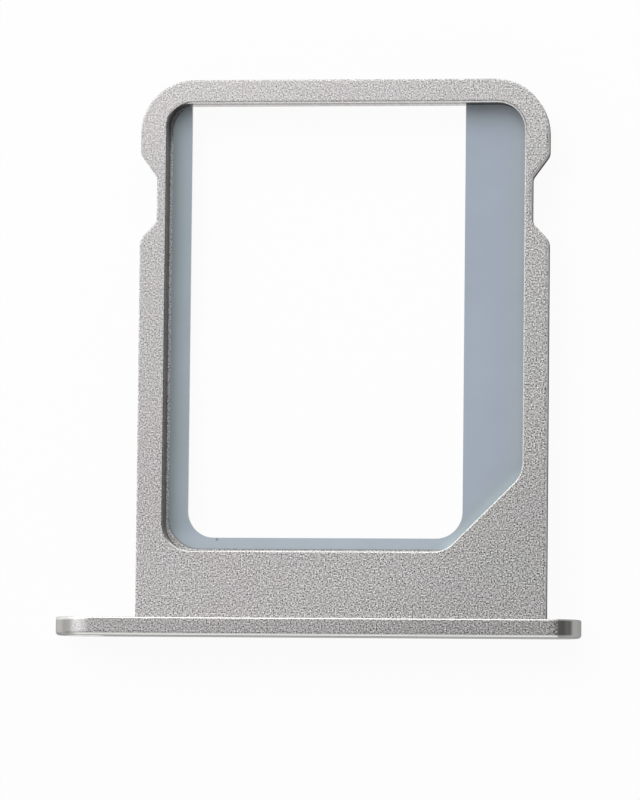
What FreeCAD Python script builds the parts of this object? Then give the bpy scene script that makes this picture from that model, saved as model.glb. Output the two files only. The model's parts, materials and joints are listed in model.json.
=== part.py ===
import FreeCAD, Part
import math
import os

import Sketcher
from FreeCAD import Vector

# A SIM card tray for a phone, one piece of steel, in millimetres.
# The card lies face up in a stepped pocket: a floor runs round three sides of it and the rest is
# an open window. A plate closes the phone's slot, and a pin in its hole pushes the tray out.
# +X runs to the right along the face plate, +Y from the plate to the far end of the frame, and
# +Z up out of the pocket. The origin is under the middle of the whole tray.

SIZES = {
    # the card that the pocket holds
    "card_long": 15.0,
    "card_wide": 12.0,
    "card_thick": 0.76,
    "card_side_play": 0.08,
    "card_sunk": 0.04,
    # the pocket's corners: the far left one ends before the window, and one is cut off so that
    # the card goes in one way only
    "pocket_round": 0.92,
    "far_left_round": 0.72,
    "cut_corner": 2.6,
    "cut_corner_round": 0.96,
    # the floor left round the window
    "floor_thick": 0.2,
    "floor_left": 0.74,
    "floor_right": 2.07,
    "floor_near": 0.47,
    "window_round": 0.9,
    # the bars of the frame
    "left_rail": 0.90,
    "right_rail": 0.80,
    "far_bar": 0.80,
    "near_bar": 2.26,
    "far_corner_round": 1.8,
    # the catch notch in each side, measured from the far end
    "notch_deep": 0.57,
    "notch_start": 2.54,
    "notch_far_slope": 0.78,
    "notch_floor": 1.50,
    "notch_near_slope": 0.61,
    "notch_far_lip_round": 0.36,
    "notch_near_lip_round": 0.45,
    "notch_root_round": 0.26,
    # the face plate, round at both ends
    "plate_high": 2.0,
    "plate_thick": 0.62,
    "hole_overhang": 2.77,
    "plain_overhang": 1.19,
    "plate_front_round": 0.12,
    "plate_back_round": 0.06,
    # the eject hole and its countersunk mouth
    "hole_diameter": 1.08,
    "mouth_diameter": 1.36,
    # the broken edges of the frame
    "edge_break": 0.04,
}

# Sizes that follow from the ones above.
POCKET_LONG = "(size.card_long + 2 * size.card_side_play)"
POCKET_WIDE = "(size.card_wide + 2 * size.card_side_play)"
POCKET_DEEP = "(size.card_thick + size.card_sunk)"
FRAME_LONG = f"(size.near_bar + {POCKET_LONG} + size.far_bar)"
FRAME_WIDE = f"(size.left_rail + {POCKET_WIDE} + size.right_rail)"
FRAME_THICK = f"({POCKET_DEEP} + size.floor_thick)"
PLATE_LONG = f"({FRAME_WIDE} + size.hole_overhang + size.plain_overhang)"
TRAY_LONG = f"(size.plate_thick + {FRAME_LONG})"

# Places in the tray's own frame.
FRONT = f"(-{TRAY_LONG} / 2)"
PLATE_BACK = f"({FRONT} + size.plate_thick)"
FRAME_MIDDLE = "((size.hole_overhang - size.plain_overhang) / 2)"
FRAME_UNDERSIDE = f"((size.plate_high - {FRAME_THICK}) / 2)"
FLOOR_TOP = f"({FRAME_UNDERSIDE} + size.floor_thick)"
FRAME_TOP = f"({FRAME_UNDERSIDE} + {FRAME_THICK})"
END_CENTRE = f"({PLATE_LONG} / 2 - size.plate_high / 2)"

# Places in the frame's sketches, which start where the frame's middle line leaves the plate.
LEFT = f"(-{FRAME_WIDE} / 2)"
RIGHT = f"({FRAME_WIDE} / 2)"
FAR = FRAME_LONG
POCKET_LEFT = f"({LEFT} + size.left_rail)"
POCKET_RIGHT = f"({RIGHT} - size.right_rail)"
POCKET_NEAR = "size.near_bar"
POCKET_FAR = f"({FAR} - size.far_bar)"
CUT_LEFT = f"({POCKET_RIGHT} - size.cut_corner)"
CUT_FAR = f"({POCKET_NEAR} + size.cut_corner)"
WINDOW_LEFT = f"({POCKET_LEFT} + size.floor_left)"
WINDOW_RIGHT = f"({POCKET_RIGHT} - size.floor_right)"
WINDOW_NEAR = f"({POCKET_NEAR} + size.floor_near)"
NOTCH_BOTTOM = f"({RIGHT} - size.notch_deep)"
NOTCH_LIP_FAR = f"({FAR} - size.notch_start)"
NOTCH_ROOT_FAR = f"({NOTCH_LIP_FAR} - size.notch_far_slope)"
NOTCH_ROOT_NEAR = f"({NOTCH_ROOT_FAR} - size.notch_floor)"
NOTCH_LIP_NEAR = f"({NOTCH_ROOT_NEAR} - size.notch_near_slope)"

# How near, in millimetres, an edge has to lie to the place that names it.
NEAR_ENOUGH = 0.002

# The mouth of the hole opens at 45 degrees on each side, so its cone is a right angle.
COUNTERSINK_ANGLE = 90

# The sketcher's numbers for a sketch's own origin and for the ends and centre of a curve.
SKETCH_ORIGIN = (-1, 1)
START = 1
END = 2
CENTRE = 3


def value(expression):
    """The number that an expression has with the sheet as it stands."""
    return float(size.evalExpression(expression))


def same(a, b):
    return abs(a - b) < NEAR_ENOUGH


def add_sketch(body, name, role, offsets):
    """A sketch on one of the body's own planes, moved along its axes by bound offsets."""
    sketch = body.newObject("Sketcher::SketchObject", name)
    plane = [item for item in body.Origin.OriginFeatures if item.Role == role][0]
    sketch.AttachmentSupport = [(plane, "")]
    sketch.MapMode = "FlatFace"
    for axis, expression in offsets.items():
        sketch.setExpression(f"AttachmentOffset.Base.{axis}", expression)
    return sketch


def frame_sketch(body, name, level):
    """A sketch that looks down on the frame, at a given height."""
    return add_sketch(body, name, "XY_Plane", {"x": FRAME_MIDDLE, "y": PLATE_BACK, "z": level})


def plate_sketch(body, name):
    """A sketch on the front of the face plate, with its Y up the plate."""
    return add_sketch(body, name, "XZ_Plane", {"z": f"-{FRONT}"})


def bind(sketch, kind, places, expression):
    """One dimension of the sketch, held to an expression."""
    number = sketch.addConstraint(Sketcher.Constraint(kind, *places, value(expression)))
    sketch.setExpression(f"Constraints[{number}]", expression)


def bind_point(sketch, curve, point, x, y):
    """Holds one point of the sketch at two expressions from the sketch's origin."""
    bind(sketch, "DistanceX", (*SKETCH_ORIGIN, curve, point), x)
    bind(sketch, "DistanceY", (*SKETCH_ORIGIN, curve, point), y)


def close_loop(sketch, curves):
    """Adds the curves end to end, tangent to each other wherever one of a pair is an arc."""
    numbers = [sketch.addGeometry(curve) for curve in curves]
    for number, after in zip(numbers, [*numbers[1:], numbers[0]]):
        both_straight = all(
            isinstance(curves[one], Part.LineSegment) for one in (number, after))
        kind = "Coincident" if both_straight else "Tangent"
        sketch.addConstraint(Sketcher.Constraint(kind, number, END, after, START))


def line(start, end):
    return Part.LineSegment(Vector(*start, 0), Vector(*end, 0))


def arc(start, middle, end):
    return Part.Arc(Vector(*start, 0), Vector(*middle, 0), Vector(*end, 0))


def draw_outline(sketch, corners):
    """A closed outline of straight sides, each corner held at its own two expressions."""
    points = [(value(x), value(y)) for x, y in corners]
    close_loop(sketch, [line(a, b) for a, b in zip(points, [*points[1:], points[0]])])
    for number, (x, y) in enumerate(corners):
        bind_point(sketch, number, START, x, y)


def draw_plate_outline(sketch):
    """The plate from the front: two straight sides joined by half circles."""
    bottom, right, top, left = range(4)
    half, high = value(END_CENTRE), value("size.plate_high")
    middle = high / 2
    close_loop(sketch, [
        line((-half, 0), (half, 0)),
        arc((half, 0), (half + middle, middle), (half, high)),
        line((half, high), (-half, high)),
        arc((-half, high), (-half - middle, middle), (-half, 0)),
    ])
    sketch.addConstraint(Sketcher.Constraint("Horizontal", bottom))
    sketch.addConstraint(Sketcher.Constraint("Equal", left, right))
    bind(sketch, "Radius", (right,), "size.plate_high / 2")
    bind(sketch, "DistanceX", (*SKETCH_ORIGIN, right, CENTRE), END_CENTRE)
    bind_point(sketch, left, CENTRE, f"-{END_CENTRE}", "size.plate_high / 2")


def draw_window_outline(sketch):
    """The window: round at its near corners, square where it meets the pocket's far wall."""
    near_right, far, near_left = 1, 3, 5
    radius = value("size.window_round")
    left_x, right_x = value(WINDOW_LEFT), value(WINDOW_RIGHT)
    near_y, far_y = value(WINDOW_NEAR), value(POCKET_FAR)
    off_arc = radius - radius * math.sqrt(0.5)
    close_loop(sketch, [
        line((left_x + radius, near_y), (right_x - radius, near_y)),
        arc((right_x - radius, near_y), (right_x - off_arc, near_y + off_arc),
            (right_x, near_y + radius)),
        line((right_x, near_y + radius), (right_x, far_y)),
        line((right_x, far_y), (left_x, far_y)),
        line((left_x, far_y), (left_x, near_y + radius)),
        arc((left_x, near_y + radius), (left_x + off_arc, near_y + off_arc),
            (left_x + radius, near_y)),
    ])
    bind_point(sketch, far, START, WINDOW_RIGHT, POCKET_FAR)
    bind_point(sketch, far, END, WINDOW_LEFT, POCKET_FAR)
    centre_y = f"{WINDOW_NEAR} + size.window_round"
    bind_point(sketch, near_right, CENTRE, f"{WINDOW_RIGHT} - size.window_round", centre_y)
    bind_point(sketch, near_left, CENTRE, f"{WINDOW_LEFT} + size.window_round", centre_y)
    bind(sketch, "Radius", (near_right,), "size.window_round")
    bind(sketch, "Radius", (near_left,), "size.window_round")


def draw_hole_centre(sketch):
    """The eject hole from the front, on the centre of the plate's left end."""
    middle = Vector(-value(END_CENTRE), value("size.plate_high / 2"), 0)
    sketch.addGeometry(Part.Circle(middle, Vector(0, 0, 1), value("size.hole_diameter / 2")))
    bind(sketch, "Diameter", (0,), "size.hole_diameter")
    bind_point(sketch, 0, CENTRE, f"-{END_CENTRE}", "size.plate_high / 2")


def add_pad(body, name, sketch, length, reverse=False):
    pad = body.newObject("PartDesign::Pad", name)
    pad.Profile = sketch
    pad.Reversed = reverse
    pad.setExpression("Length", length)
    doc.recompute()


def must_shrink(body, before, name):
    """Stops where a cut took nothing off, as one that points away from the solid does."""
    if body.Shape.Volume >= before:
        raise ValueError(f"{name} cuts nothing")


def cut_away(body, name, sketch, depth):
    """Cuts the sketch downwards into the body."""
    before = body.Shape.Volume
    pocket = body.newObject("PartDesign::Pocket", name)
    pocket.Profile = sketch
    pocket.setExpression("Length", depth)
    doc.recompute()
    must_shrink(body, before, name)
    return pocket


def cut_other_side(body, name, cut, sketch):
    """Mirrors a cut about the middle line of its sketch."""
    before = body.Shape.Volume
    mirrored = body.newObject("PartDesign::Mirrored", name)
    mirrored.Originals = [cut]
    mirrored.MirrorPlane = (sketch, ["V_Axis"])
    body.Tip = mirrored
    doc.recompute()
    must_shrink(body, before, name)


def drill(body, name, sketch, diameter, mouth):
    """A countersunk hole right through, at the centre of the sketch's circle."""
    before = body.Shape.Volume
    hole = body.newObject("PartDesign::Hole", name)
    hole.Profile = sketch
    doc.recompute()
    hole.ThreadType = "None"
    hole.DepthType = "ThroughAll"
    hole.DrillPoint = "Flat"
    hole.setExpression("Diameter", diameter)
    hole.HoleCutType = "Countersink"
    hole.HoleCutCustomValues = True
    hole.HoleCutCountersinkAngle = COUNTERSINK_ANGLE
    hole.setExpression("HoleCutDiameter", mouth)
    doc.recompute()
    must_shrink(body, before, name)


def dress(body, kind, name, wanted, expression):
    """A fillet or a chamfer of a bound size on the edges that pass a test."""
    base = body.Tip
    names = [f"Edge{n}" for n, edge in enumerate(base.Shape.Edges, start=1) if wanted(edge)]
    if not names:
        raise ValueError(f"{name} finds no edges on {base.Name}")
    feature = body.newObject(f"PartDesign::{kind}", name)
    feature.Base = (base, names)
    feature.setExpression("Radius" if kind == "Fillet" else "Size", expression)
    doc.recompute()


def round_corners(body, name, corners, radius):
    """Rounds the upright edges that stand at these corners of the frame's sketches."""
    places = [(value(f"{FRAME_MIDDLE} + {x}"), value(f"{PLATE_BACK} + {y}")) for x, y in corners]

    def stands_there(edge):
        ends = [vertex.Point for vertex in edge.Vertexes]
        return any(all(same(end.x, x) and same(end.y, y) for end in ends) for x, y in places)

    dress(body, "Fillet", name, stands_there, radius)


def both_sides(corners):
    """The same corners on both sides of the frame's middle line."""
    return corners + [(f"-{x}", y) for x, y in corners]


def lies_at(edge, axis, place):
    """True where the whole edge lies in the plane at this place on one axis."""
    low, high = getattr(edge.BoundBox, f"{axis}Min"), getattr(edge.BoundBox, f"{axis}Max")
    return same(low, value(place)) and same(high, value(place))


def is_frame_edge(edge):
    level = lies_at(edge, "Z", FRAME_TOP) or lies_at(edge, "Z", FRAME_UNDERSIDE)
    return level and not lies_at(edge, "Y", PLATE_BACK)


def is_plate_front_edge(edge):
    return lies_at(edge, "Y", FRONT)


def is_plate_back_edge(edge):
    """True for the plate's own outline, and not where the frame joins its back."""
    above = edge.BoundBox.ZMax > value(FRAME_TOP) + NEAR_ENOUGH
    below = edge.BoundBox.ZMin < value(FRAME_UNDERSIDE) - NEAR_ENOUGH
    return lies_at(edge, "Y", PLATE_BACK) and (above or below)


doc = FreeCAD.newDocument("card_tray")
size = doc.addObject("Spreadsheet::Sheet", "size")
for row, (alias, number) in enumerate(SIZES.items(), start=1):
    size.set(f"A{row}", alias)
    size.set(f"B{row}", str(number))
    size.setAlias(f"B{row}", alias)
doc.recompute()

tray = doc.addObject("PartDesign::Body", "card_tray")
tray.Label = "card_tray"

# The face plate and the frame's blank, joined back to front.
plate_outline = plate_sketch(tray, "plate_outline")
draw_plate_outline(plate_outline)
add_pad(tray, "face_plate", plate_outline, "size.plate_thick", reverse=True)

blank_outline = frame_sketch(tray, "blank_outline", FRAME_UNDERSIDE)
draw_outline(blank_outline, [(LEFT, "0"), (RIGHT, "0"), (RIGHT, FAR), (LEFT, FAR)])
add_pad(tray, "frame_blank", blank_outline, FRAME_THICK)
round_corners(tray, "far_corners", [(LEFT, FAR), (RIGHT, FAR)], "size.far_corner_round")

# The catch notches, cut on the right and mirrored to the left about the frame's middle line.
far_lip, near_lip = (RIGHT, NOTCH_LIP_FAR), (RIGHT, NOTCH_LIP_NEAR)
far_root, near_root = (NOTCH_BOTTOM, NOTCH_ROOT_FAR), (NOTCH_BOTTOM, NOTCH_ROOT_NEAR)
notch_outline = frame_sketch(tray, "notch_outline", FRAME_TOP)
draw_outline(notch_outline, [far_lip, far_root, near_root, near_lip])
notch = cut_away(tray, "catch_notch", notch_outline, FRAME_THICK)
cut_other_side(tray, "other_catch_notch", notch, notch_outline)
round_corners(tray, "notch_far_lips", both_sides([far_lip]), "size.notch_far_lip_round")
round_corners(tray, "notch_near_lips", both_sides([near_lip]), "size.notch_near_lip_round")
round_corners(tray, "notch_roots", both_sides([far_root, near_root]), "size.notch_root_round")

# The card's pocket, with its cut corner beside the plain end of the plate.
near_left, far_left = (POCKET_LEFT, POCKET_NEAR), (POCKET_LEFT, POCKET_FAR)
far_right = (POCKET_RIGHT, POCKET_FAR)
cut_start, cut_end = (CUT_LEFT, POCKET_NEAR), (POCKET_RIGHT, CUT_FAR)
pocket_outline = frame_sketch(tray, "pocket_outline", FRAME_TOP)
draw_outline(pocket_outline, [near_left, cut_start, cut_end, far_right, far_left])
cut_away(tray, "card_pocket", pocket_outline, POCKET_DEEP)
round_corners(tray, "pocket_corners", [near_left, far_right], "size.pocket_round")
round_corners(tray, "far_left_corner", [far_left], "size.far_left_round")
round_corners(tray, "cut_corner", [cut_start, cut_end], "size.cut_corner_round")

# The window through the floor, which runs right up to the pocket's far wall.
window_outline = frame_sketch(tray, "window_outline", FLOOR_TOP)
draw_window_outline(window_outline)
cut_away(tray, "window", window_outline, "size.floor_thick")

# The frame's edges are broken above and below, and the plate's are rounded front and back.
dress(tray, "Chamfer", "frame_edges", is_frame_edge, "size.edge_break")
dress(tray, "Fillet", "plate_front", is_plate_front_edge, "size.plate_front_round")
dress(tray, "Fillet", "plate_back", is_plate_back_edge, "size.plate_back_round")

# The eject hole, in line with the plate's left end, with a mouth that guides the pin in.
hole_centre = plate_sketch(tray, "hole_centre")
draw_hole_centre(hole_centre)
drill(tray, "eject_hole", hole_centre, "size.hole_diameter", "size.mouth_diameter")

for item in doc.Objects:
    if "Invalid" in item.State or "Error" in item.State:
        raise ValueError(f"{item.Name} failed: {item.State}")
if tray.Shape.isNull() or not tray.Shape.isValid() or len(tray.Shape.Solids) != 1:
    raise ValueError("the tray is not one valid solid")

os.makedirs("parts", exist_ok=True)
tray.Shape.exportStep(f"parts/{tray.Label}.step")
box = tray.Shape.BoundBox
print(f"{tray.Label}: {box.XLength:.3f} by {box.YLength:.3f} by {box.ZLength:.3f} mm,"
      f" {tray.Shape.Volume:.2f} cubic mm, {len(tray.Shape.Faces)} faces")
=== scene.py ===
# %% [markdown]
# A card tray from a phone, seen from above.
#
# The tray is one piece of steel. A long oval plate closes the phone's slot, and a thin frame behind
# it carries the card in a stepped pocket. Its shape is finished before this lesson starts. What makes
# it look real is that one piece of metal wears many finishes, because each tool that touched it left
# its own.

# %% Load the tray
import json
import math

import bpy
from mathutils import Matrix, Vector


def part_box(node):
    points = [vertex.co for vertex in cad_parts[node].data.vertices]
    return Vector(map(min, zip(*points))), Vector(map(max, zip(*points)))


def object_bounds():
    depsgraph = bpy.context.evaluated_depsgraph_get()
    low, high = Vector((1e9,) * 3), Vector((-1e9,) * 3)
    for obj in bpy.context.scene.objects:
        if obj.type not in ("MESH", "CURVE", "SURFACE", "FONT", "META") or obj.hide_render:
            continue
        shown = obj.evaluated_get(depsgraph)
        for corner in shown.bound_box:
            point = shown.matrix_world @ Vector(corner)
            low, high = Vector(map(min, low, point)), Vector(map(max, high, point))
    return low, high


PER_METRE = 1000

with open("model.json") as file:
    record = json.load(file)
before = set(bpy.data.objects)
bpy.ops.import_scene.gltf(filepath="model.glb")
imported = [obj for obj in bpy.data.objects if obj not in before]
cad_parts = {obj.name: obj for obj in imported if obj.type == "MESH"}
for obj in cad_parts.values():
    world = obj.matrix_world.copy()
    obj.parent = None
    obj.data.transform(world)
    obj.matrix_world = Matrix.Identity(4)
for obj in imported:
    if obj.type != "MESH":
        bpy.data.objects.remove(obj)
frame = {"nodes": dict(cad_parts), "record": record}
cad_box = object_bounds()
tray = frame["nodes"]["card_tray"]
sides = [round(side * PER_METRE, 2) for side in tray.dimensions]
print("tray:", len(tray.data.polygons), "faces,", sides, "mm")

# %% [markdown]
# The finishes change where the shape changes, so the lesson needs a few places on the tray. They
# could be typed in, but then they would be wrong as soon as someone changed the tray's size. The
# record that comes with the shape names some of them: the pocket's floor, the back of the plate and
# the eject hole. Blender works in metres, but a tray is easier to think about in millimetres, so
# every place and width on it is in millimetres. Only the table's size, the lamp and the camera's
# distance are in metres.

# %% Places on the plate, in millimetres
mounts = {mount["name"]: mount for mount in frame["record"]["mounts"]}


def place_of(mount):
    return [PER_METRE * number for number in mounts[mount]["pos_m"]]


lowest, highest = (corner * PER_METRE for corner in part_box("card_tray"))
front_y = lowest.y
plate_back_y = place_of("plate_back")[1]
floor_z = place_of("card_seat")[2]
hole_x, _, hole_z = place_of("eject_hole")
hole_radius = mounts["eject_hole"]["dims"]["r_mm"]
plate_middle_z = (lowest.z + highest.z) / 2
end_centre_x = highest.x - plate_middle_z
print("plate from y", round(front_y, 2), "to", round(plate_back_y, 2), "floor at z", round(floor_z, 2))
print("hole at x", round(hole_x, 2), "z", round(hole_z, 2), "radius", hole_radius)

# %% [markdown]
# The other places are read from the shape itself. The corner points at the height of the floor trace
# the pocket's outline, so their lowest and highest numbers are its four walls, and the point that
# lies furthest to the right and to the front is on the cut corner. The points below the floor, well
# inside the pocket, trace the window.

# %% Places in the pocket, in millimetres
SAME_HEIGHT = 0.002
WELL_INSIDE = 0.1

points = [vertex.co * PER_METRE for vertex in tray.data.vertices]
floor_points = [point for point in points if abs(point.z - floor_z) < SAME_HEIGHT]
pocket_left = min(point.x for point in floor_points)
pocket_right = max(point.x for point in floor_points)
pocket_near = min(point.y for point in floor_points)
pocket_far = max(point.y for point in floor_points)
cut_line = max(point.x - point.y for point in floor_points)
window_points = [point for point in points
                 if point.z < floor_z - SAME_HEIGHT
                 and pocket_left + WELL_INSIDE < point.x < pocket_right - WELL_INSIDE
                 and pocket_near + WELL_INSIDE < point.y < pocket_far - WELL_INSIDE]
window_near = min(point.y for point in window_points)
window_left = min(point.x for point in window_points)
window_right = max(point.x for point in window_points)
print("pocket x", round(pocket_left, 2), "to", round(pocket_right, 2),
      "y", round(pocket_near, 2), "to", round(pocket_far, 2))
print("window x", round(window_left, 2), "to", round(window_right, 2), "from y", round(window_near, 2))

# %% [markdown]
# A shader is a small factory of numbers. Each node takes numbers in and gives numbers out, and wires
# carry them on. Nodes can be placed by hand in Blender's window, or written out one by one, but this
# metal needs hundreds, so the lesson first makes a few helpers. feed gives a socket either a wire or
# a fixed value. maths does one sum. ramp is a soft switch between two values, and under, over and
# both are made from those two.

# %% Helpers that add nodes
steel = bpy.data.materials.new("tray_steel")
steel.use_nodes = True
tree = steel.node_tree
tree.nodes.clear()


def feed(socket, value):
    """Gives a socket a wire, if the value is another node's output, or else a fixed value."""
    if isinstance(value, bpy.types.NodeSocket):
        tree.links.new(value, socket)
    elif socket.type == "RGBA":
        socket.default_value = (*value[:3], 1.0)
    else:
        socket.default_value = value


def maths(operation, a, b=0.0):
    node = tree.nodes.new("ShaderNodeMath")
    node.operation = operation
    feed(node.inputs[0], a)
    feed(node.inputs[1], b)
    return node.outputs[0]


def ramp(value, low, high, to_low=0.0, to_high=1.0):
    """A smooth switch: to_low where the value is under low, to_high where it is over high."""
    node = tree.nodes.new("ShaderNodeMapRange")
    node.interpolation_type = "SMOOTHSTEP"
    for name, number in (("From Min", low), ("From Max", high), ("To Min", to_low), ("To Max", to_high)):
        node.inputs[name].default_value = number
    feed(node.inputs["Value"], value)
    return node.outputs["Result"]


def under(value, limit, soft):
    """1 where the value is below the limit, 0 where it is above, and soft is the width between."""
    return ramp(value, limit - soft / 2, limit + soft / 2, 1.0, 0.0)


def over(value, limit, soft):
    """0 where the value is below the limit, 1 where it is above, and soft is the width between."""
    return ramp(value, limit - soft / 2, limit + soft / 2)


def both(*masks):
    """The places where every one of the masks is 1. It also multiplies shades."""
    result = masks[0]
    for mask in masks[1:]:
        result = maths("MULTIPLY", result, mask)
    return result


def diagonal(a, b):
    """The long side of a right triangle with the short sides a and b."""
    return maths("SQRT", maths("ADD", maths("POWER", a, 2.0), maths("POWER", b, 2.0)))


print("helpers ready for", steel.name)

# %% [markdown]
# Two things tell the shader where it is: the place on the tray, and the way the surface faces there.
# Both come from the Texture Coordinate node, in the tray's own frame, so the finish stays put when
# the tray is turned or the camera moves. The place is multiplied by 1000 to turn metres into
# millimetres. A surface that looks straight up or down has a flatness of 1, a wall has 0, and an edge
# broken at 45 degrees has 0.7.

# %% Where the shader is, and which way the surface faces
coordinates = tree.nodes.new("ShaderNodeTexCoord")


def scaled(vector, factor):
    node = tree.nodes.new("ShaderNodeVectorMath")
    node.operation = "SCALE"
    feed(node.inputs[0], vector)
    feed(node.inputs["Scale"], factor)
    return node.outputs[0]


def split(vector):
    node = tree.nodes.new("ShaderNodeSeparateXYZ")
    tree.links.new(vector, node.inputs[0])
    return node.outputs


place = scaled(coordinates.outputs["Object"], PER_METRE)
x, y, z = split(place)
facing_x, facing_y, facing_z = split(coordinates.outputs["Normal"])
flatness = maths("ABSOLUTE", facing_z)
leftward = maths("MULTIPLY", x, -1.0)
print("nodes so far:", len(tree.nodes))

# %% [markdown]
# Now the masks. Each is a number that is 1 on one part of the tray and 0 on the rest. Each part could
# have a material of its own, given to its faces by hand, but then no finish could fade into the next
# one, and a mask can. The frame starts a hair behind the plate's back, so that the back still counts
# as plate. Walls are hardly flat, and the broken edges lie between walls and flats. The hole is known
# by the distance from its own middle line. LINE and TURN are the widths over which a mask fades:
# LINE in millimetres, TURN in how far the surface is turned.

# %% Masks for the parts of the tray
LINE = 0.02
TURN = 0.1
WALL_FLATNESS = 0.4
FLOOR_FLATNESS = 0.85
HALF_TURNED = 0.5

in_plate = under(y, plate_back_y + LINE, LINE)
in_frame = over(y, plate_back_y + LINE, LINE)
is_wall = under(flatness, WALL_FLATNESS, TURN)
is_edge = both(over(flatness, WALL_FLATNESS, TURN), under(flatness, FLOOR_FLATNESS, TURN))
looks_up = over(facing_z, HALF_TURNED, TURN)
looks_down = under(facing_z, -HALF_TURNED, TURN)
hole_reach = diagonal(maths("SUBTRACT", x, hole_x), maths("SUBTRACT", z, hole_z))
print("masks made, nodes so far:", len(tree.nodes))

# %% [markdown]
# For the pocket, the most useful number is how far a place lies inside its outline. For a rectangle
# with round corners that distance has a short formula: fold the plane into one quarter, shrink the
# quarter by the corner's radius, and measure from there. The cut corner is one more straight line,
# and the smaller of the two distances counts. One corner of the real pocket is a little tighter than
# the others, so the mask for the pocket reaches a tenth of a millimetre further out.

# %% How far inside the pocket's outline
POCKET_ROUND = 0.92
POCKET_MARGIN = 0.1

cut_gap = maths("DIVIDE", maths("SUBTRACT", cut_line, maths("SUBTRACT", x, y)), math.sqrt(2.0))


def outline_gap(left, right, near, far, radius):
    """Millimetres inside a rectangle with round corners and the cut corner, below 0 outside it."""
    folded = []
    for along, low, high in ((x, left, right), (y, near, far)):
        from_centre = maths("ABSOLUTE", maths("SUBTRACT", along, (low + high) / 2))
        folded.append(maths("SUBTRACT", from_centre, (high - low) / 2 - radius))
    round_part = diagonal(*(maths("MAXIMUM", side, 0.0) for side in folded))
    flat_part = maths("MINIMUM", maths("MAXIMUM", *folded), 0.0)
    gap = maths("SUBTRACT", radius, maths("ADD", round_part, flat_part))
    return maths("MINIMUM", gap, cut_gap)


pocket_gap = outline_gap(pocket_left, pocket_right, pocket_near, pocket_far, POCKET_ROUND)
in_pocket = over(pocket_gap, -POCKET_MARGIN, LINE)
print("pocket outline made, nodes so far:", len(tree.nodes))

# %% [markdown]
# Steel that was blasted with fine grit is covered in tiny dents, each about as wide as a hair. They
# are far too small to model, and a photograph of dents would have to be repeated over the tray, which
# the eye notices. So they are noise. One noise is never enough to look like metal. The fine one makes
# the dents, a coarse one makes some patches a little darker, and a very broad one lets the colour
# drift, as it does on bare steel.

# %% The noises
DENTS_PER_MM = 20.0
PATCHES_PER_MM = 3.0
DRIFT_PER_MM = 0.45


def noise(per_millimetre, detail=2.0, roughness=0.5, where=place):
    node = tree.nodes.new("ShaderNodeTexNoise")
    feed(node.inputs["Vector"], where)
    node.inputs["Scale"].default_value = per_millimetre
    node.inputs["Detail"].default_value = detail
    node.inputs["Roughness"].default_value = roughness
    return node.outputs["Fac"]


def vary(value, amount):
    """Turns a noise round 0.5 into a factor round 1 that goes up and down by the amount."""
    return maths("ADD", maths("MULTIPLY", maths("SUBTRACT", value, 0.5), 2.0 * amount), 1.0)


dents = noise(DENTS_PER_MM, detail=1.0, roughness=0.6)
patches = noise(PATCHES_PER_MM)
drift = noise(DRIFT_PER_MM, detail=1.0)
print("dents, patches and drift, nodes so far:", len(tree.nodes))

# %% [markdown]
# The grit didn't land evenly. The grain gets coarser from the far left corner to the near right one,
# and here and there it is weaker or stronger. Taking y from x gives a number that grows in just that
# direction. The bottom of a dent also holds a little shade. Bump alone doesn't show that, so the
# noise that makes the dents also darkens and lightens the colour, and here it is called the speckle.

# %% How coarse the grain is
FINEST, COARSEST = 0.47, 0.98
FINEST_AT, COARSEST_AT = -20, 22
WEAK_SPOTS_PER_MM = 1.3
WEAK_SPOTS = 0.3
SPECKLE = 2.3
DARKEST_SPECK = 0.1

across = maths("SUBTRACT", x, y)
coarseness = both(ramp(across, FINEST_AT, COARSEST_AT, FINEST, COARSEST),
                  vary(noise(WEAK_SPOTS_PER_MM), WEAK_SPOTS))
speck = maths("MULTIPLY", maths("SUBTRACT", vary(dents, SPECKLE), 1.0), coarseness)
speckle = maths("MAXIMUM", maths("ADD", speck, 1.0), DARKEST_SPECK)
print("speckle made, nodes so far:", len(tree.nodes))

# %% [markdown]
# The finishes are laid over each other like coats of paint. A coat has a mask, a colour, a roughness
# and a depth of grain. The first coat covers everything, and each later one covers what its mask
# says. One shader for each finish, with Mix Shader nodes between them, would look much the same, but
# it is slower to render and harder to follow. Here a finish is one line, easy to add and to take
# away. The Mix node has its own sockets for each kind of value, and the two short lists below say
# which ones are its two inputs and its result, for plain numbers and for colours.

# %% A coat of finish
MIX_NUMBERS = (2, 3, 0)
MIX_COLOURS = (6, 7, 2)
coat = {}


def mix(mask, below, above, colour=False):
    """What is above where the mask is 1, and what is below where it is 0."""
    node = tree.nodes.new("ShaderNodeMix")
    node.data_type = "RGBA" if colour else "FLOAT"
    a, b, result = MIX_COLOURS if colour else MIX_NUMBERS
    feed(node.inputs[0], mask)
    feed(node.inputs[a], below)
    feed(node.inputs[b], above)
    return node.outputs[result]


def lay(name, mask, colour, roughness, grain):
    """Lays one coat over what is there, wherever the mask is 1."""
    coat["colour"] = mix(mask, coat["colour"], colour, colour=True)
    coat["roughness"] = mix(mask, coat["roughness"], roughness)
    coat["grain"] = mix(mask, coat["grain"], grain)
    print("coat:", name)


print("ready to lay coats on", steel.name)
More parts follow.
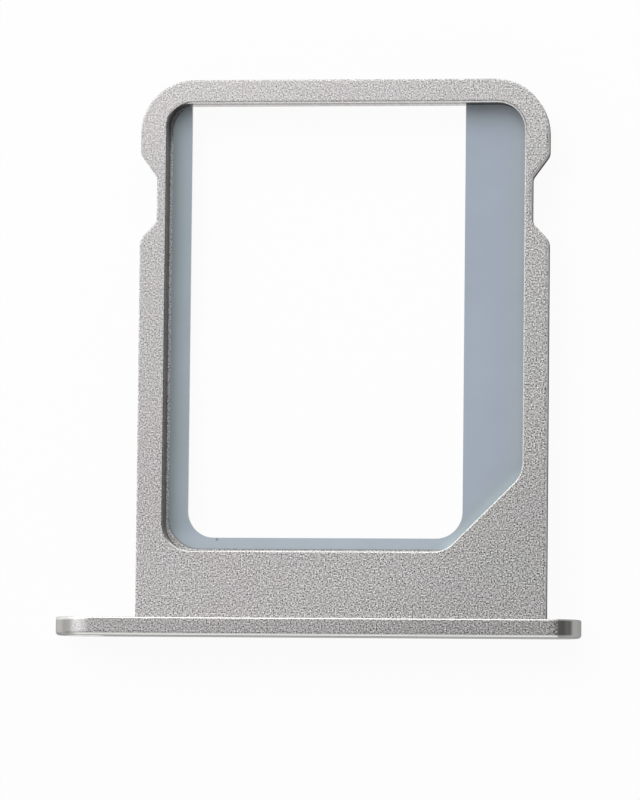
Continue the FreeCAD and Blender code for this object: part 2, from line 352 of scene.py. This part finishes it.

# %% [markdown]
# The first coat is the blasted skin, which shows on the frame's top and on the plate's straight upper side.
# It is a light grey and quite rough. Bare steel is never one grey, so the colour drifts between a rosy one,
# mostly on the left, and a plainer one. The skin is painted a little lighter on the left and at the far end
# and darkest in the near right corner, as painted light and shade that follow the lamp. It is also painted
# lighter just behind the plate, as painted light thrown by the plate's bright back. The plate's side is a
# shade darker than the frame, partly because it was ground to size afterwards and partly as painted shade,
# since it lies further from the lamp.

# %% First coat, the blasted skin
BLASTED_ROSY = (0.475, 0.450, 0.458)
BLASTED_PLAIN = (0.458, 0.456, 0.449)
PLAIN_ON_LEFT, PLAIN_ON_RIGHT = 0.4, 0.75
DRIFTING = 1.3
BLASTED_ROUGH = 0.52
PATCHY = 0.06
LEFT_LIFT, RIGHT_LIFT = 1.02, 0.98
FAR_LIFT, FAR_LIFT_WIDE = 1.06, 3.0
PLATE_LIFT, PLATE_LIFT_FROM, PLATE_LIFT_TO = 1.06, 0.8, 4.3
CORNER_SHADE, CORNER_FROM, CORNER_TO = 0.915, 9, 14
GROUND_SHADE = 0.85

# Painted light and shade: lighter on the left, at the far end and just behind the plate, darkest in the near
# right corner.
painted_light = both(ramp(x, lowest.x, highest.x, LEFT_LIFT, RIGHT_LIFT),
                ramp(y, pocket_far - FAR_LIFT_WIDE, pocket_far, 1.0, FAR_LIFT),
                ramp(across, CORNER_FROM, CORNER_TO, 1.0, CORNER_SHADE),
                ramp(y, plate_back_y + PLATE_LIFT_FROM, plate_back_y + PLATE_LIFT_TO, PLATE_LIFT, 1.0))
# The plate's side is darker, partly as ground steel and partly as painted shade.
skin_shade = both(speckle, painted_light, vary(patches, PATCHY), mix(in_plate, 1.0, GROUND_SHADE))
plainness = both(ramp(x, lowest.x / 2, highest.x, PLAIN_ON_LEFT, PLAIN_ON_RIGHT), vary(drift, DRIFTING))
skin_colour = scaled(mix(plainness, BLASTED_ROSY, BLASTED_PLAIN, colour=True), skin_shade)
coat.update(colour=skin_colour, roughness=BLASTED_ROUGH, grain=coarseness)
print("coat: blasted skin")

# %% [markdown]
# The outside of the frame was punched from the sheet. A punch shears the upper part of such a wall clean and
# tears the rest, so the upper part is light and the lower part dull, and both have short scratches that run
# up and down. The lower part is also painted dark, as painted shade where the wall meets the table. Modelled
# scratches would cost thousands of faces for something a hair wide, so they are a noise too, stretched
# upwards until it hardly changes with height.

# %% The punched outside walls
SHEARED = (0.50, 0.49, 0.485)
TORN_AND_SHADED = (0.10, 0.098, 0.096)
TEAR_HEIGHT, TEAR_SOFT = 0.9, 0.3
STREAK_STRETCH = (1.0, 1.0, 0.06)
STREAKS_PER_MM = 9.0
DEEP_STREAKS = 0.5

stretched = tree.nodes.new("ShaderNodeVectorMath")
stretched.operation = "MULTIPLY"
feed(stretched.inputs[0], place)
stretched.inputs[1].default_value = STREAK_STRETCH
streaks = noise(STREAKS_PER_MM, where=stretched.outputs[0])
on_outside = both(in_frame, is_wall)
# The torn part is painted dark: partly dull torn metal, partly painted shade along the wall's foot.
torn_and_shaded_part = both(on_outside, under(z, TEAR_HEIGHT, TEAR_SOFT))
lay("sheared walls", on_outside, scaled(SHEARED, vary(streaks, DEEP_STREAKS)), roughness=0.45, grain=0.3)
lay("torn walls", torn_and_shaded_part, scaled(TORN_AND_SHADED, vary(streaks, DEEP_STREAKS)), roughness=0.85, grain=0.5)

# %% [markdown]
# The pocket was milled. Its walls were cut by the side of the cutter, so they shine, with faint streaks
# where it chattered. Their lower part is painted darker, as shade at the foot of the wall. The far wall is
# painted the darkest, as shade, apart from its stretch over the window, which is painted lighter downwards,
# a painted reflection of the white seen through the window.

# %% The milled walls of the pocket
MILLED_WALL = (0.43, 0.410, 0.404)
FAINT_STREAKS = 0.35
FOOT_SHADE, FOOT_SHADE_FROM, FOOT_SHADE_TO = 0.6, 0.2, 0.36
FAR_WALL_SHADE = 0.65
OVER_WINDOW_LOW, OVER_WINDOW_HIGH = 2.2, 1.1
LIGHTEST_AT, LIGHTER_FROM = 0.15, 0.55
LOOKS_FRONT, LOOKS_FRONT_SOFT = -0.6, 0.3

is_far_wall = under(facing_y, LOOKS_FRONT, LOOKS_FRONT_SOFT)
over_window = both(over(x, window_left, LINE), under(x, window_right, LINE))
# Over the window the far wall gets a painted reflection, lighter downwards; elsewhere it is painted dark as
# shade.
window_reflection = ramp(z, floor_z + LIGHTEST_AT, floor_z + LIGHTER_FROM, OVER_WINDOW_LOW, OVER_WINDOW_HIGH)
far_shade = mix(over_window, FAR_WALL_SHADE, window_reflection)
# Painted shade at the foot of the walls.
painted_foot_shade = ramp(z, floor_z + FOOT_SHADE_FROM, floor_z + FOOT_SHADE_TO, FOOT_SHADE, 1.0)
wall_shade = both(mix(is_far_wall, painted_foot_shade, far_shade), vary(streaks, FAINT_STREAKS))
pocket_wall = both(in_frame, in_pocket, is_wall)
lay("milled walls", pocket_wall, scaled(MILLED_WALL, wall_shade), roughness=0.3, grain=0.2)

# %% [markdown]
# The window goes through the thin floor, and its own walls were sheared in one stroke. They are so
# low that all one sees of them is a bright line, so a plain bright coat under the floor's height is
# all that they need.

# %% The walls of the window
WINDOW_WALL = (0.85, 0.85, 0.84)

lay("window walls", both(pocket_wall, under(z, floor_z, LINE)), WINDOW_WALL, roughness=0.25, grain=0.2)

# %% [markdown]
# The pocket's floor was finished last, with a wider cutter that stayed a hair inside the left and the near
# wall. What it left along those walls, and in the corners that it couldn't reach, is a thin strip of grit.
# It is bright in most places, and towards the far wall it is painted darker, as shade in the far corners.
# The strip could be a modelled step, but it has no height to speak of. So the grit is laid on the whole
# floor, the way the tray was made, and the next coat leaves out its edge.

# %% The grit on the floor
GRIT = (0.65, 0.645, 0.645)
FAR_GRIT_SHADE, FAR_GRIT_FROM, FAR_GRIT_TO = 0.4, 1.6, 0.8
FLOOR_REACH, FLOOR_SOFT = 0.25, 0.2

on_floor = both(in_frame, looks_up, under(z, floor_z + FLOOR_REACH, FLOOR_SOFT))
# Painted shade: the grit gets darker towards the far wall.
far_corner_shade = ramp(y, pocket_far - FAR_GRIT_FROM, pocket_far - FAR_GRIT_TO, 1.0, FAR_GRIT_SHADE)
lay("grit on the floor", on_floor, scaled(GRIT, both(speckle, far_corner_shade)), roughness=0.6, grain=0.8)

# %% [markdown]
# The finished floor is matt and a cool blue-grey, a little less blue close to the walls and a little green
# along the left wall and the cut corner. One flat blue would look like plastic, so three close colours are
# mixed by the distance from the walls. It is lightest along the cut corner. Its lift over the near half,
# near the plate and by the left wall, and its darkening towards the far wall, are painted light and shade.
# The wide cutter's outline is the pocket's again, with rounder corners, set in on the left and near sides
# and run past the far wall.

# %% The finished floor
CUTTER_INSET = 0.085
CUTTER_ROUND = 1.1
FAR_OVERRUN = 0.16
FLOOR_BLUE = (0.464, 0.518, 0.590)
FLOOR_NEUTRAL = (0.479, 0.530, 0.572)
FLOOR_GREEN = (0.446, 0.512, 0.545)
NEUTRAL_TO, BLUE_FROM = 0.1, 0.9
CLOUDS_PER_MM, CLOUDY = 0.6, 0.05
NEAR_HALF_LIFT, FAR_HALF_SHADE = 1.03, 0.97
LEDGE_LIFT, LEDGE_FROM, LEDGE_TO = 1.16, -0.1, 0.6
FAR_FLOOR_SHADE, FAR_FLOOR_WIDE = 0.94, 1.1
LEFT_WALL_LIFT, LEFT_LIFT_WIDE, LEFT_GREEN_WIDE = 1.06, 0.8, 1.2
CUT_LIFT, CUT_FROM, CUT_LIFT_TO, CUT_GREEN_TO = 1.2, 0.05, 0.45, 0.7

cutter_gap = outline_gap(pocket_left + CUTTER_INSET, pocket_right, pocket_near + CUTTER_INSET,
                         pocket_far + FAR_OVERRUN, CUTTER_ROUND)
# Painted light and shade: lighter over the near half, near the plate and by the left wall, darker towards
# the far wall. The clouds are the floor's own.
floor_shade = both(vary(noise(CLOUDS_PER_MM), CLOUDY),
                   ramp(y, pocket_near, pocket_far, NEAR_HALF_LIFT, FAR_HALF_SHADE),
                   ramp(y, window_near + LEDGE_FROM, window_near + LEDGE_TO, LEDGE_LIFT, 1.0),
                   ramp(y, pocket_far - FAR_FLOOR_WIDE, pocket_far, 1.0, FAR_FLOOR_SHADE),
                   ramp(x, pocket_left, pocket_left + LEFT_LIFT_WIDE, LEFT_WALL_LIFT, 1.0),
                   ramp(cut_gap, CUT_FROM, CUT_LIFT_TO, CUT_LIFT, 1.0))
blueness = ramp(pocket_gap, NEUTRAL_TO, BLUE_FROM)
greenness = maths("MAXIMUM", ramp(cut_gap, CUT_FROM, CUT_GREEN_TO, 1.0, 0.0),
                  ramp(x, pocket_left, pocket_left + LEFT_GREEN_WIDE, 1.0, 0.0))
floor_tint = mix(greenness, mix(blueness, FLOOR_NEUTRAL, FLOOR_BLUE, colour=True), FLOOR_GREEN, colour=True)
lay("finished floor", both(on_floor, over(cutter_gap, 0.0, LINE)), scaled(floor_tint, floor_shade),
    roughness=0.7, grain=0.03)

# %% [markdown]
# Where the wide cutter's edge ended, it pressed a fine dark line into the steel. It only shows round
# the near corner and beside the plate. The distance from the cutter's outline is there already, so
# the line is simply where that distance is almost nothing.

# %% The cutter's line
CUTTER_LINE = (0.33, 0.335, 0.34)
LINE_OUTSIDE, LINE_INSIDE, LINE_SOFT = 0.02, 0.012, 0.015
LINE_ENDS, LINE_FADES = 0.8, 0.6

on_line = both(on_floor, over(cutter_gap, -LINE_OUTSIDE, LINE_SOFT),
               under(cutter_gap, LINE_INSIDE, LINE_SOFT), under(y, window_near + LINE_ENDS, LINE_FADES))
lay("cutter's line", on_line, CUTTER_LINE, roughness=0.6, grain=0.5)

# %% [markdown]
# Last of all, the sharp edges were broken. Round the outside that is a dull, pale line. Round the pocket it
# was done with a fresh cutter and is the brightest thing on the tray: bare, smooth metal at 45 degrees to
# everything else. The left edge, which faces right, away from the lamp, is painted dull, as shade. The edges
# are real, narrow faces of the shape, so the mask finds them by the way they face.

# %% The broken edges
EDGE_STEEL = (0.88, 0.88, 0.86)
OUTER_EDGE = (0.75, 0.74, 0.73)
EDGE_SPECKLE = 0.5
LEFT_EDGE_SHADE, FACES_RIGHT_FROM, FACES_RIGHT_TO = 0.28, 0.45, 0.62

# Painted shade on the edges that face right, away from the lamp.
right_facing_shade = ramp(facing_x, FACES_RIGHT_FROM, FACES_RIGHT_TO, 1.0, LEFT_EDGE_SHADE)
pocket_edge = scaled(EDGE_STEEL, both(vary(dents, EDGE_SPECKLE), right_facing_shade))
lay("outer edges", both(in_frame, is_edge), scaled(OUTER_EDGE, speckle), roughness=0.55, grain=0.5)
lay("pocket edges", both(in_frame, in_pocket, is_edge), pocket_edge, roughness=0.22, grain=0.3)

# %% [markdown]
# Outside the pocket's far edge the cutter raised a burr, and where that was rubbed off a thin dark
# line is left in the blasted skin. Small marks like this, in the right place, tell the eye how a thing
# was made.

# %% The burr's line
EDGE_WIDTH, EDGE_SOFT = 0.04, 0.01
BURR_WIDTH, BURR_SOFT = 0.045, 0.02
BURR_SHADE = 0.6
BURR_STARTS, BURR_FADES = 0.9, 0.6

past_edge = both(under(pocket_gap, -EDGE_WIDTH, EDGE_SOFT),
                 over(pocket_gap, -EDGE_WIDTH - BURR_WIDTH, BURR_SOFT))
burr_line = both(looks_up, past_edge, over(y, pocket_far - BURR_STARTS, BURR_FADES))
lay("burr's line", burr_line, scaled(skin_colour, BURR_SHADE), roughness=BLASTED_ROUGH, grain=coarseness)

# %% [markdown]
# The plate is what a hand touches. Its back was ground bright, and the light that it throws onto the frame
# is painted into the first coat. Its round ends are polished smooth. On the left the polish fades out in a
# bright haze round the bend, a light coat of medium roughness that is partly half polished metal and partly
# a painted highlight, and that the end's own coat then covers in part. On the right the polish ends in a
# sharp line past the straight part. The ends are also painted lighter towards the left tip and darker
# towards the right tip, as painted light and shade on their curves.

# %% The plate's back and polished ends
BACK_STEEL = (0.72, 0.71, 0.70)
HAZE_AND_HIGHLIGHT = (0.66, 0.65, 0.65)
POLISHED = (0.42, 0.413, 0.400)
SQUARE_ON = 0.9
HAZE_STARTS, HAZE_FADES = end_centre_x - 0.16, 0.34
LEFT_END_STARTS, LEFT_END_FADES = end_centre_x + 0.36, 0.2
RIGHT_END_STARTS, RIGHT_END_FADES = end_centre_x + 0.28, 0.08
LEFT_TIP_FROM = end_centre_x + 0.6
LEFT_END_LIFT, LEFT_TIP_LIFT = 1.08, 1.35
RIGHT_TIP_SHADE = 0.88
HAZE_SPECKLE = 0.5

on_back = both(in_plate, over(facing_y, SQUARE_ON, TURN))
# The left haze is partly half polished metal and partly a painted highlight.
on_haze = over(leftward, HAZE_STARTS, HAZE_FADES)
on_left_end = over(leftward, LEFT_END_STARTS, LEFT_END_FADES)
on_right_end = over(x, RIGHT_END_STARTS, RIGHT_END_FADES)
on_ends = both(in_plate, maths("MAXIMUM", on_left_end, on_right_end))
# Painted light and shade on the ends: lighter towards the left tip, darker towards the right tip.
tip_light_and_patches = both(ramp(leftward, LEFT_TIP_FROM, highest.x, 1.0, LEFT_TIP_LIFT),
            ramp(x, end_centre_x, highest.x, 1.0, RIGHT_TIP_SHADE),
            mix(on_left_end, 1.0, LEFT_END_LIFT), vary(patches, PATCHY))
lay("plate's back", on_back, BACK_STEEL, roughness=0.35, grain=0.4)
lay("left haze", both(in_plate, on_haze), scaled(HAZE_AND_HIGHLIGHT, vary(dents, HAZE_SPECKLE)), roughness=0.4, grain=0.5)
lay("polished ends", on_ends, scaled(POLISHED, tip_light_and_patches), roughness=0.23, grain=0.1)

# %% [markdown]
# The plate's edges are rounded and they shine, except round the ends, where the polish went over them and
# left them as grey as the rest. The edge behind the left end is painted nearly white, a painted highlight
# along that edge. The lower side is polished too, but lighter than the ends.

# %% The plate's edges and lower side
BACK_EDGE_HIGHLIGHT = (0.92, 0.92, 0.91)
HIGHLIGHT_WIDTH, HIGHLIGHT_SOFT = 0.10, 0.06
LOWER_SHADE = 0.8
RIM_FROM, RIM_FROM_SOFT = 0.3, 0.2
RIM_TO, RIM_TO_SOFT = 0.92, 0.1
RIM_SPECKLE = 0.2
RIM_END_SHADE, RIM_END_WIDE = 0.42, 0.5

# A painted highlight along the back edge behind the left end.
highlit_back_edge = both(in_plate, on_haze, over(y, plate_back_y - HIGHLIGHT_WIDTH, HIGHLIGHT_SOFT))
lay("worn back edge", highlit_back_edge, BACK_EDGE_HIGHLIGHT, roughness=0.4, grain=0.1)
lay("lower side", both(in_plate, looks_down), scaled(EDGE_STEEL, LOWER_SHADE), roughness=0.22, grain=0.1)
slant = maths("ABSOLUTE", facing_y)
on_rim = both(in_plate, over(slant, RIM_FROM, RIM_FROM_SOFT), under(slant, RIM_TO, RIM_TO_SOFT))
left_rim_end = both(ramp(leftward, end_centre_x, end_centre_x + RIM_END_WIDE), under(facing_y, 0.0, TURN))
rim_shade = mix(maths("MAXIMUM", left_rim_end, on_right_end), 1.0, RIM_END_SHADE)
rim_colour = scaled(EDGE_STEEL, both(rim_shade, vary(dents, RIM_SPECKLE)))
lay("plate's edges", on_rim, rim_colour, roughness=0.25, grain=0.2)

# %% [markdown]
# The face is what shows when the tray is in the phone. It is satin, a little olive, darker towards
# its upper edge and clouded where it was wiped. A few tiny pits are scattered over it. A noise is
# rarely very low, so a ramp that only answers to its lowest values gives a few lone dots.

# %% The plate's face
FACE_STEEL = (0.38, 0.375, 0.35)
UPPER_SHADE = 0.55
FACE_DEPTH, FACE_SOFT = 0.1, 0.05
WIPES_PER_MM, WIPED = 0.9, 0.10
PITS_PER_MM, PIT_SHADE = 5.0, 0.45
PIT_AT, NO_PIT_AT = 0.15, 0.19

on_face = both(under(facing_y, -SQUARE_ON, TURN), under(y, front_y + FACE_DEPTH, FACE_SOFT))
wiped = vary(noise(WIPES_PER_MM, detail=3.0), WIPED)
pits = ramp(noise(PITS_PER_MM, detail=0.0), PIT_AT, NO_PIT_AT, PIT_SHADE, 1.0)
face_shade = both(wiped, pits, ramp(z, plate_middle_z, highest.z, 1.0, UPPER_SHADE))
lay("face", on_face, scaled(FACE_STEEL, face_shade), roughness=0.28, grain=0.06)

# %% [markdown]
# The hole was drilled and its mouth countersunk after everything else, so inside it there is only
# bright turned metal. Its coat comes after the face's, because a later coat covers an earlier one.

# %% The eject hole
TURNED = (0.80, 0.80, 0.79)
MOUTH_REACH = 0.14
TURNED_SPECKLE = 0.12

in_hole = both(in_plate, under(hole_reach, hole_radius + MOUTH_REACH, LINE))
lay("eject hole", in_hole, scaled(TURNED, vary(dents, TURNED_SPECKLE)), roughness=0.12, grain=0.15)

# %% [markdown]
# One small knock is left on the near edge of the window, a dark dot no wider than a hair. Wear in
# the right place does more for a picture than wear everywhere.

# %% The knock on the window's edge
KNOCK_X = -3.49
KNOCK_REACH = 0.045
KNOCK_DARK = (0.27, 0.30, 0.30)

knock_y = window_near - LINE
knock_reach = diagonal(maths("SUBTRACT", x, KNOCK_X), maths("SUBTRACT", y, knock_y))
on_knock = both(in_frame, under(knock_reach, KNOCK_REACH, KNOCK_REACH))
lay("knock", on_knock, KNOCK_DARK, roughness=0.5, grain=0.5)

# %% [markdown]
# Blasting also rounds every edge by a twentieth of a millimetre. That is too fine to model but not
# too fine to see: it draws a soft light line on the side of the light and a soft dark one on the
# other. The Bevel node rounds the light over an edge and leaves the shape as it is. On the floor,
# its window and the far wall it is kept much smaller, since those edges were cut last.

# %% Soften the edges
BLASTED_ROUND = 0.05
CUT_ROUND = 0.02
BEVEL_SAMPLES = 6
LOW_DOWN, LOW_DOWN_SOFT = 0.3, 0.1
FAR_WALL_WIDE, FAR_WALL_SOFT = 1.2, 0.2

by_the_floor = under(z, floor_z + LOW_DOWN, LOW_DOWN_SOFT)
by_the_far_wall = over(y, pocket_far - FAR_WALL_WIDE, FAR_WALL_SOFT)
cut_last = both(in_frame, in_pocket, maths("MAXIMUM", by_the_floor, by_the_far_wall))
rounded = tree.nodes.new("ShaderNodeBevel")
rounded.samples = BEVEL_SAMPLES
feed(rounded.inputs["Radius"], mix(cut_last, BLASTED_ROUND / PER_METRE, CUT_ROUND / PER_METRE))
print("edges softened by", CUT_ROUND, "to", BLASTED_ROUND, "mm")

# %% [markdown]
# The coats end in one Principled shader, which is all metal. The dents are a bump of about a
# hundredth of a millimetre, a trick of the light that leaves the shape smooth, and the grain of each
# coat says how much of it shows.

# %% Put the coats on the tray
DENT_DEPTH = 0.011
GRAZING_TINT = (0.6, 0.6, 0.6, 1.0)

bump = tree.nodes.new("ShaderNodeBump")
bump.inputs["Distance"].default_value = DENT_DEPTH / PER_METRE
feed(bump.inputs["Height"], dents)
feed(bump.inputs["Strength"], coat["grain"])
feed(bump.inputs["Normal"], rounded.outputs[0])
skin = tree.nodes.new("ShaderNodeBsdfPrincipled")
skin.inputs["Metallic"].default_value = 1.0
skin.inputs["Specular Tint"].default_value = GRAZING_TINT
feed(skin.inputs["Base Color"], coat["colour"])
feed(skin.inputs["Roughness"], coat["roughness"])
feed(skin.inputs["Normal"], bump.outputs["Normal"])
output = tree.nodes.new("ShaderNodeOutputMaterial")
tree.links.new(skin.outputs["BSDF"], output.inputs["Surface"])
for slot in tray.material_slots:
    slot.material = steel
print("steel has", len(tree.nodes), "nodes")

# %% [markdown]
# A small object photographed for a catalogue stands on pure white, but its shadow should still tie it
# to the table. More light on a white table would also bleach the metal. So the table is mostly its own
# even white for whatever looks at it, and partly a plain matt surface that takes the shadow. The
# helpers add their nodes to the current tree, and from here on that is the table's.

# %% The white table
TABLE_SIZE = 4.0
TABLE_GAP = 0.02
TABLE_WHITE = (0.9, 0.9, 0.9, 1.0)
EVEN_SHARE = 0.93

table_z = cad_box[0].z - TABLE_GAP / PER_METRE
bpy.ops.mesh.primitive_plane_add(size=TABLE_SIZE, location=(0, 0, table_z))
table = bpy.context.object
table.name = "table"
white = bpy.data.materials.new("white_table")
white.use_nodes = True
tree = white.node_tree
tree.nodes.clear()
matt = tree.nodes.new("ShaderNodeBsdfDiffuse")
matt.inputs["Color"].default_value = TABLE_WHITE
even = tree.nodes.new("ShaderNodeEmission")
seen_by = tree.nodes.new("ShaderNodeLightPath")
looked_at = maths("MAXIMUM", seen_by.outputs["Is Camera Ray"],
                  maths("MAXIMUM", seen_by.outputs["Is Glossy Ray"], seen_by.outputs["Is Transmission Ray"]))
blend = tree.nodes.new("ShaderNodeMixShader")
feed(blend.inputs[0], maths("MULTIPLY", looked_at, EVEN_SHARE))
tree.links.new(matt.outputs[0], blend.inputs[1])
tree.links.new(even.outputs[0], blend.inputs[2])
table_output = tree.nodes.new("ShaderNodeOutputMaterial")
tree.links.new(blend.outputs[0], table_output.inputs["Surface"])
table.data.materials.append(white)
print("table:", TABLE_SIZE, "m wide")

# %% [markdown]
# Metal shows its surroundings, so the room matters as much as the lamp. It could be a photograph of
# a studio wrapped round the scene, but a few soft steps of grey do the same and say what they do.
# The world's Generated coordinate is the direction that a ray leaves in, and its three numbers tell
# how far it points to the right, to the far side and up. The ceiling is brighter on the left, and
# dimmer in front, where the one who takes the picture would be.

# %% The room's walls and ceiling
WALLS = 1.0
CEILING_LEFT, CEILING_MIDDLE = 1.12, 0.88
LEFT_TO, MIDDLE_FROM = -0.5, -0.1
CEILING_FROM, CEILING_FULL = 0.1, 0.45
FRONT_SHADE = 0.55
FRONT_STARTS, FRONT_STARTS_SOFT = -0.12, 0.2
FRONT_ENDS, FRONT_ENDS_SOFT = -0.62, 0.25

world = bpy.data.worlds.new("room")
bpy.context.scene.world = world
world.use_nodes = True
tree = world.node_tree
tree.nodes.clear()
direction = tree.nodes.new("ShaderNodeTexCoord")
to_right, to_far, up = split(direction.outputs["Generated"])
in_front = both(under(to_far, FRONT_STARTS, FRONT_STARTS_SOFT), over(to_far, FRONT_ENDS, FRONT_ENDS_SOFT))
ceiling = both(ramp(to_right, LEFT_TO, MIDDLE_FROM, CEILING_LEFT, CEILING_MIDDLE),
               mix(in_front, 1.0, FRONT_SHADE))
inside = mix(ramp(up, CEILING_FROM, CEILING_FULL), WALLS, ceiling)
print("walls and ceiling made")

# %% [markdown]
# Photographers stand a dark card beside metal to give it dark edges, and here one stands on the
# right, with a lighter strip low on it. Only the surfaces that bend to the right see it: the polished
# end of the plate and the edges that face right.

# %% The dark card
CARD, CARD_LOW = 0.22, 0.32
CARD_LOW_TO, CARD_FROM = 0.2, 0.4
CARD_STARTS, CARD_FULL = 0.25, 0.5
CARD_REACH, CARD_REACH_SOFT = 0.4, 0.2
STRIP = 0.19
STRIP_STARTS, STRIP_STARTS_SOFT = 0.86, 0.03
STRIP_ENDS, STRIP_ENDS_SOFT = 0.955, 0.02

on_card = both(ramp(to_right, CARD_STARTS, CARD_FULL),
               under(maths("ABSOLUTE", to_far), CARD_REACH, CARD_REACH_SOFT))
strip = both(over(to_right, STRIP_STARTS, STRIP_STARTS_SOFT),
             under(to_right, STRIP_ENDS, STRIP_ENDS_SOFT), STRIP)
card = maths("ADD", mix(ramp(up, CARD_LOW_TO, CARD_FROM), CARD_LOW, CARD), strip)
background = tree.nodes.new("ShaderNodeBackground")
feed(background.inputs["Strength"], mix(on_card, inside, card))
world_output = tree.nodes.new("ShaderNodeOutputWorld")
tree.links.new(background.outputs[0], world_output.inputs["Surface"])
print("room made with", len(tree.nodes), "nodes")

# %% [markdown]
# One large soft lamp hangs behind the tray, a little to the left. Light from behind rakes over the
# dents and makes the grain stand out, the pocket's far and left walls keep it off the floor beside
# them, and edges that face it turn white. Set lower or brighter it would show more grain, but the
# tray would glare when seen from the front. A lamp's power in watts says little about how bright it
# looks, because a larger lamp spreads the same power over a larger face. So the lesson starts from a
# brightness and multiplies it by pi and by the lamp's area.

# %% The lamp
LAMP_PLACE = Vector((-0.03, 0.055, 0.075))
LAMP_SIDE = 0.1
LAMP_BRIGHTNESS = 1.6

lamp = bpy.data.lights.new("key_lamp", "AREA")
lamp.shape = "SQUARE"
lamp.size = LAMP_SIDE
lamp.energy = math.pi * LAMP_SIDE ** 2 * LAMP_BRIGHTNESS
softbox = bpy.data.objects.new("key_lamp", lamp)
softbox.location = LAMP_PLACE
softbox.rotation_mode = "QUATERNION"
softbox.rotation_quaternion = LAMP_PLACE.to_track_quat("Z", "Y")
softbox.visible_camera = False
bpy.context.scene.collection.objects.link(softbox)
print("lamp:", round(LAMP_PLACE.length * PER_METRE), "mm away, power", round(lamp.energy, 4), "W")

# %% [markdown]
# The camera looks down from 200 mm, leaning 7 degrees to the right and 4 degrees to the front, so
# it sees a sliver of the plate's face and of the pocket's left and far walls. From so far away a long
# lens is needed, and it keeps the frame's rails nearly parallel. The lens follows from how large the
# tray is to be in the picture, in pixels to a millimetre. NEAREST is how near to the camera a thing
# may be and still show.

# %% The camera
DISTANCE = 0.2
LOOKS_AT = Vector((0.01, -1.416, 1.0)) / PER_METRE
LEAN_RIGHT = math.radians(6.98)
LEAN_FRONT = math.radians(4.18)
ROLL = math.radians(0.6)
LONG_SIDE_PIXELS = 800
PIXELS_PER_MILLIMETRE = 29.61
NEAREST = 0.001

lens = bpy.data.cameras.new("camera")
picture_height = LONG_SIDE_PIXELS / PIXELS_PER_MILLIMETRE / PER_METRE
lens.lens = lens.sensor_width * DISTANCE / picture_height
lens.clip_start = NEAREST
camera = bpy.data.objects.new("camera", lens)
turn = (Matrix.Rotation(LEAN_RIGHT, 4, "Y")
        @ Matrix.Rotation(LEAN_FRONT, 4, "X")
        @ Matrix.Rotation(ROLL, 4, "Z"))
camera.matrix_world = Matrix.Translation(LOOKS_AT) @ turn @ Matrix.Translation((0, 0, DISTANCE))
bpy.context.scene.collection.objects.link(camera)
bpy.context.scene.camera = camera
bpy.context.scene.view_settings.view_transform = "Standard"
print("lens:", round(lens.lens, 1), "mm, picture height:", round(picture_height * PER_METRE, 2), "mm")
